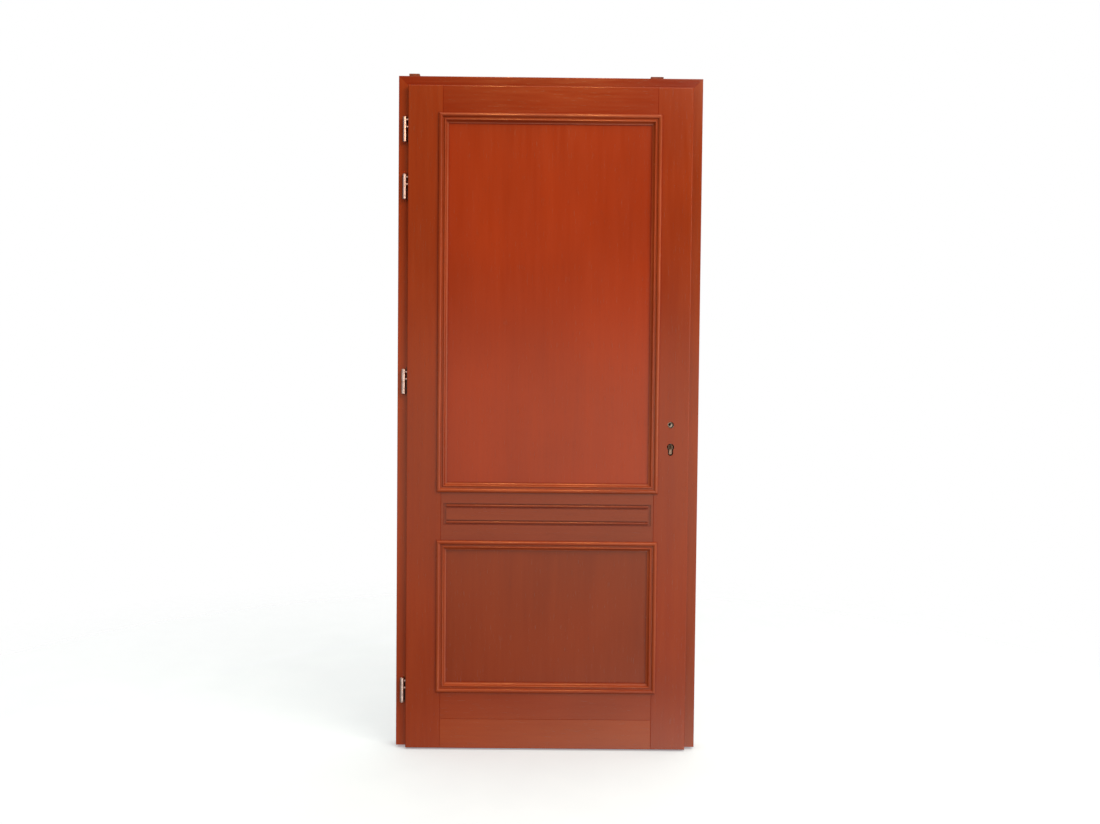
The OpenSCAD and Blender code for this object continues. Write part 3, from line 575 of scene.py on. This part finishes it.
# The profile cylinder: a nickel-plated brass body through the lock stile, with a dull
# brass plug and keyway on each face and a cam between them, held by one long screw.
# Painted shade: the cylinder's face is darkened over its outer rim, standing in for the shade of
# the bore around it.
CYLINDER_RIM = 0.004
cylinder_nickel = plated_metal("cylinder_nickel", (172, 146, 136), (84, 64, 56), fine=1.4,
                               rim_shade=CYLINDER_RIM)
dress(cylinder_nickel, "cylinder_body", "cylinder_cam", "cylinder_screw")
dress(plated_metal("plug_brass", (112, 92, 82), (52, 40, 34), fine=1.4),
      "cylinder_plug", "cylinder_rear_plug")


# The studio: a pale floor that fades into a white surround, a large warm softbox high
# in front, a fill from the right, two small gloss lamps over the head, one lamp each
# for the hinges and the follower, and a banded room that the satin lacquer mirrors.
FLOOR_RADIUS, FLOOR_DROP, FLOOR_CLEAR = 3.2, 0.0006, (1.2, 3.1)
bpy.ops.object.select_all(action="DESELECT")
bpy.ops.mesh.primitive_circle_add(vertices=96, radius=FLOOR_RADIUS, fill_type="NGON",
                                  location=(0, 0, -FLOOR_DROP))
floor = bpy.context.object
floor.name = "floor"
floor.visible_glossy = False
floor.visible_diffuse = False
pale_floor, tree, surface, place = new_material("pale_floor")
mottle = put(tree, "TexNoise", {"Scale": 6, "Detail": 6}, {"Vector": place}).outputs[0]
floor_colour = mixed(tree, mottle, (0.69, 0.80, 0.93, 1), (0.73, 0.84, 0.97, 1))
tree.links.new(floor_colour, surface.inputs["Base Color"])
tree.links.new(spread(tree, mottle, 0.3, 0.7, 0.60, 0.70), surface.inputs["Roughness"])
away = put(tree, "VectorMath", {"operation": "LENGTH"}, {0: place}).outputs["Value"]
tree.links.new(spread(tree, away, *FLOOR_CLEAR, 1, 0), surface.inputs["Alpha"])
surface.inputs["Emission Color"].default_value = (0.93, 1.0, 1.07, 1)
surface.inputs["Emission Strength"].default_value = 0.27
floor.data.materials.append(pale_floor)


def lamp(name, size, place, aim, power, colour):
    """A rectangular soft lamp that the camera itself doesn't see."""
    bpy.ops.object.light_add(type="AREA", location=place)
    made = bpy.context.object
    made.name = name
    made.data.shape = "RECTANGLE"
    made.data.size, made.data.size_y = size
    made.data.energy = power
    made.data.color = colour
    made.rotation_euler = (Vector(aim) - Vector(place)).to_track_quat("-Z", "Y").to_euler()
    made.visible_camera = False
    return made


lamp("key", (1.8, 1.3), place=(1.5, -2.2, 3.5), aim=(0.0, 0, 1.3),
     power=40, colour=(1.0, 0.86, 0.66))
lamp("right_fill", (0.6, 1.8), place=(2.2, -1.9, 1.6), aim=(0.2, 0, 1.35),
     power=12, colour=(1.0, 0.80, 0.58))
hinge_light = lamp("hinge_light", (2.6, 3.0), place=(-1.5, -2.3, 1.2), aim=(-0.47, -0.05, 1.2),
                   power=19, colour=(1.0, 0.80, 0.76))
hinge_light.light_linking.receiver_collection = hinge_metal
lock_light = lamp("lock_light", (0.5, 0.5), place=(-0.6, -3.4, 2.0),
                  aim=(SPINDLE[0], -0.05, SPINDLE[2]), power=190, colour=(1.0, 0.90, 0.78))
lock_light.light_linking.receiver_collection = lock_metal
for side, across in (("left", -0.25), ("right", 0.20)):
    glow = lamp(f"{side}_lamp", (0.09, 0.09), place=(across, -1.6, 2.95), aim=(across, 0, 2.05),
                power=14, colour=(1.0, 0.42, 0.12))
    glow.visible_diffuse = False

# The surround is white to the camera, an even sky to diffuse light, and to the gloss a
# room with bands of brightness from the floor up, brighter on the right.
world = bpy.data.worlds.new("surround")
bpy.context.scene.world = world
world.use_nodes = True
world.cycles.sampling_method = "NONE"
tree = world.node_tree
looking = put(tree, "SeparateXYZ", {}, {0: put(tree, "TexCoord").outputs["Generated"]}).outputs


def rungs(source, low, high, steps):
    """A ladder of brightness over a direction, as grey colours."""
    ramp = put(tree, "ValToRGB", {}, {"Fac": spread(tree, source, low, high, 0, 1)})
    while len(ramp.color_ramp.elements) < len(steps):
        ramp.color_ramp.elements.new(0.5)
    for stop, (at, glow) in zip(ramp.color_ramp.elements, steps):
        stop.position = at
        stop.color = (glow, glow, glow, 1)
    return ramp.outputs["Color"]


ROOM_BANDS = ((0.00, 0.12), (0.15, 0.25), (0.25, 1.50), (0.335, 1.42), (0.36, 0.22), (0.42, 0.05),
              (0.50, 0.66), (0.565, 1.13), (0.715, 1.18), (0.775, 1.20), (0.80, 0.06), (0.85, 0.02))
SKY_BANDS = ((0.0, 0.44), (0.45, 0.51), (0.60, 0.71), (1.0, 1.30))
room = rungs(looking["Z"], -0.60, 0.20, ROOM_BANDS)
room = mixed(tree, 1.0, room, spread(tree, looking["X"], -0.25, 0.25, 0.45, 1.55), "MULTIPLY")
low_side = spread(tree, looking["X"], -0.11, 0.11, 0.55, 2.2)
below = spread(tree, looking["Z"], -0.22, -0.28, 0, 1)
room = mixed(tree, below, room, times(tree, room, low_side))
near_foot = spread(tree, looking["Z"], -0.28, -0.32, 0, 1)
veil = mixed(tree, near_foot, (0.92, 0.88, 0.68, 1), (0.94, 0.88, 0.75, 1))
room = mixed(tree, 1.0, room, veil, "MULTIPLY")
far_right = spread(tree, looking["X"], 0.35, 0.70, 0, 1)
right_side = times(tree, far_right, spread(tree, looking["Z"], 0.0, 0.14, 1, 0.25))
room = mixed(tree, right_side, room, (1.0, 0.80, 0.66, 1))
overhead = spread(tree, looking["Z"], 0.34, 0.55, 0, 1)
room = mixed(tree, overhead, room, (0.6, 0.50, 0.43, 1))
dim = put(tree, "Background", {}, {"Color": room}).outputs[0]
sky = rungs(looking["Z"], -1.0, 1.0, SKY_BANDS)
sky = mixed(tree, 1.0, sky, spread(tree, looking["X"], -1, 1, 0.75, 1.25), "MULTIPLY")
sky = mixed(tree, 1.0, sky, (0.97, 0.87, 0.72, 1), "MULTIPLY")
soft = put(tree, "Background", {}, {"Color": sky}).outputs[0]
white = put(tree, "Background", {"Color": (1, 1, 1, 1), "Strength": 1.0}).outputs[0]
path = put(tree, "LightPath").outputs
lit_room = put(tree, "MixShader", {}, {0: path["Is Diffuse Ray"], 1: dim, 2: soft}).outputs[0]
surround = put(tree, "MixShader", {}, {0: path["Is Camera Ray"], 1: lit_room, 2: white}).outputs[0]
tree.links.new(surround, tree.nodes["World Output"].inputs["Surface"])
